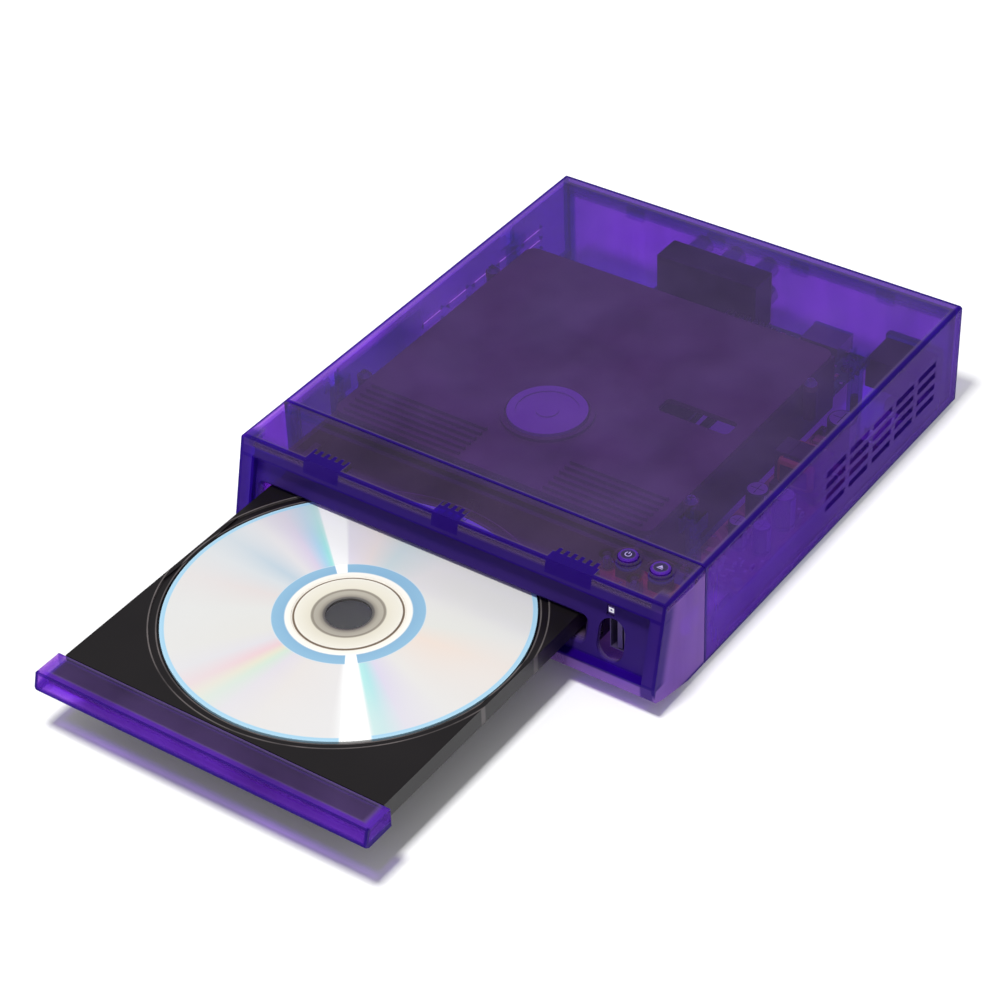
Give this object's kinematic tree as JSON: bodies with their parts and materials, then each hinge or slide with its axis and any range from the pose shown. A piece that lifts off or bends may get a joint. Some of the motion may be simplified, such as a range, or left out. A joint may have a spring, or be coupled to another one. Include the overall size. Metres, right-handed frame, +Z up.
{
  "type": "dvd player",
  "caption": "Slim disc player in translucent purple plastic, its motor-driven tray slid out with a disc lying in it, and sockets at the front and back.",
  "frame": {"origin": "on the floor, at the middle of the case's width and of the whole length with the tray out", "axes": "+Z up from the feet, +Y from the tray's flap to the back panel, +X to the side with the buttons"},
  "size_m": [0.167, 0.3174, 0.0432],
  "materials": {
    "purple_clear": "translucent gloss",
    "tray_black": "fine satin",
    "black_plastic": "moulded satin",
    "white_plastic": "acetal satin",
    "pale_plastic": "satin",
    "disc_surface": "iridescent mirror",
    "rubber_black": "matte",
    "screw_steel": "zinc plated",
    "plated_steel": "zinc plated sheet",
    "rod_steel": "ground and polished",
    "motor_can": "nickel plated can",
    "sled_alloy": "die cast",
    "lens_glass": "coated clear",
    "board_green": "solder mask",
    "board_brown": "phenolic board",
    "chip_black": "moulded package",
    "heat_sink_alloy": "extruded, bare",
    "capacitor_sleeve": "shrink sleeve",
    "socket_black": "moulded",
    "socket_metal": "nickel plated",
    "transformer_core": "ferrite with tape",
    "lamp_white": "diffusing",
    "cable_white": "flat cable"
  },
  "bodies": {
    "case": {"base_tub": "purple_clear", "rubber_feet": "rubber_black", "case_screws": "screw_steel", "top_cover": "purple_clear", "front_bezel": "purple_clear", "loader_frame": "black_plastic", "loader_screws": "screw_steel", "loading_motor": "motor_can", "drive_belt": "rubber_black", "clamp_bridge": "black_plastic", "bridge_screws": "screw_steel", "main_board": "board_green", "decoder_chip": "chip_black", "heat_sink": "heat_sink_alloy", "board_capacitors": "capacitor_sleeve", "rca_jacks": "socket_black", "hdmi_socket": "socket_metal", "board_screws": "screw_steel", "power_board": "board_brown", "power_transformer": "transformer_core", "power_capacitors": "capacitor_sleeve", "power_inlet": "socket_black", "front_board": "board_brown", "port_board": "board_green", "usb_socket": "socket_metal", "status_lamp": "lamp_white", "ir_receiver": "chip_black", "button_board": "board_brown", "button_board_screws": "screw_steel", "front_board_screws": "screw_steel", "tact_switches": "chip_black", "front_cable": "cable_white"},
    "tray": {"tray": "tray_black", "tray_flap": "purple_clear"},
    "disc": {"disc": "disc_surface"},
    "deck": {"deck": "black_plastic", "traverse_plate": "plated_steel", "damper_grommets": "rubber_black", "deck_screws": "screw_steel", "spindle_motor": "motor_can", "guide_rods": "rod_steel", "sled_motor": "motor_can"},
    "turntable": {"turntable": "black_plastic"},
    "sled": {"sled": "sled_alloy", "lens": "lens_glass"},
    "lead_screw": {"lead_screw": "rod_steel"},
    "cam_slider": {"cam_slider": "white_plastic"},
    "tray_gear": {"tray_gear": "white_plastic"},
    "pulley_gear": {"pulley_gear": "white_plastic"},
    "motor_pulley": {"motor_pulley": "white_plastic"},
    "clamp": {"clamp_puck": "black_plastic", "clamp_cap": "pale_plastic"},
    "power_button": {"power_button": "purple_clear"},
    "eject_button": {"eject_button": "purple_clear"}
  },
  "joints": [
    {"name": "tray_slide", "type": "slide", "parent": "case", "child": "tray", "axis": [0, 1, 0], "range_m": [0, 0.113]},
    {"name": "disc_spin", "type": "hinge", "parent": "tray", "child": "disc", "pos_m": [-0.0113, -0.08135, 0.0229], "axis": [0, 0, 1], "continuous": true},
    {"name": "deck_lift", "type": "hinge", "parent": "case", "child": "deck", "pos_m": [-0.0113, 0.11175, 0.015], "axis": [-1, 0, 0], "range_deg": [0, 3.58]},
    {"name": "turntable_spin", "type": "hinge", "parent": "deck", "child": "turntable", "pos_m": [-0.0113, 0.03137, 0.01698], "axis": [0, -0.0624, 0.998], "continuous": true},
    {"name": "sled_slide", "type": "slide", "parent": "deck", "child": "sled", "axis": [0, 0.998, 0.0624], "range_m": [0, 0.034]},
    {"name": "lead_screw_spin", "type": "hinge", "parent": "deck", "child": "lead_screw", "pos_m": [0.0082, 0.03191, 0.0084], "axis": [0, 0.998, 0.0624], "range_deg": [0, 4081]},
    {"name": "cam_slide", "type": "slide", "parent": "case", "child": "cam_slider", "axis": [1, 0, 0], "range_m": [0, 0.016]},
    {"name": "tray_gear_spin", "type": "hinge", "parent": "case", "child": "tray_gear", "pos_m": [-0.0525, -0.02025, 0.0185], "axis": [0, 0, 1], "range_deg": [-649, 0]},
    {"name": "pulley_gear_spin", "type": "hinge", "parent": "case", "child": "pulley_gear", "pos_m": [-0.03728, -0.01531, 0.017], "axis": [0, 0, 1], "range_deg": [0, 1081]},
    {"name": "motor_pulley_spin", "type": "hinge", "parent": "case", "child": "motor_pulley", "pos_m": [-0.013, -0.02705, 0.015], "axis": [0, 0, 1], "range_deg": [0, 3814]},
    {"name": "clamp_spin", "type": "hinge", "parent": "case", "child": "clamp", "pos_m": [-0.0113, 0.03165, 0.03], "axis": [0, 0, 1], "continuous": true},
    {"name": "power_press", "type": "slide", "parent": "case", "child": "power_button", "axis": [0, 0, -1], "range_m": [0, 0.0005], "stiffness_N_per_m": 300},
    {"name": "eject_press", "type": "slide", "parent": "case", "child": "eject_button", "axis": [0, 0, -1], "range_m": [0, 0.0005], "stiffness_N_per_m": 300}
  ],
  "couplings": [
    {"joint": "cam_slide", "follows": "deck_lift", "m_per_rad": 0.25605},
    {"joint": "lead_screw_spin", "follows": "sled_slide", "rad_per_m": 2094.4},
    {"joint": "tray_gear_spin", "follows": "tray_slide", "rad_per_m": -100},
    {"joint": "pulley_gear_spin", "follows": "tray_slide", "rad_per_m": 166.67},
    {"joint": "motor_pulley_spin", "follows": "tray_slide", "rad_per_m": 588.89}
  ]
}
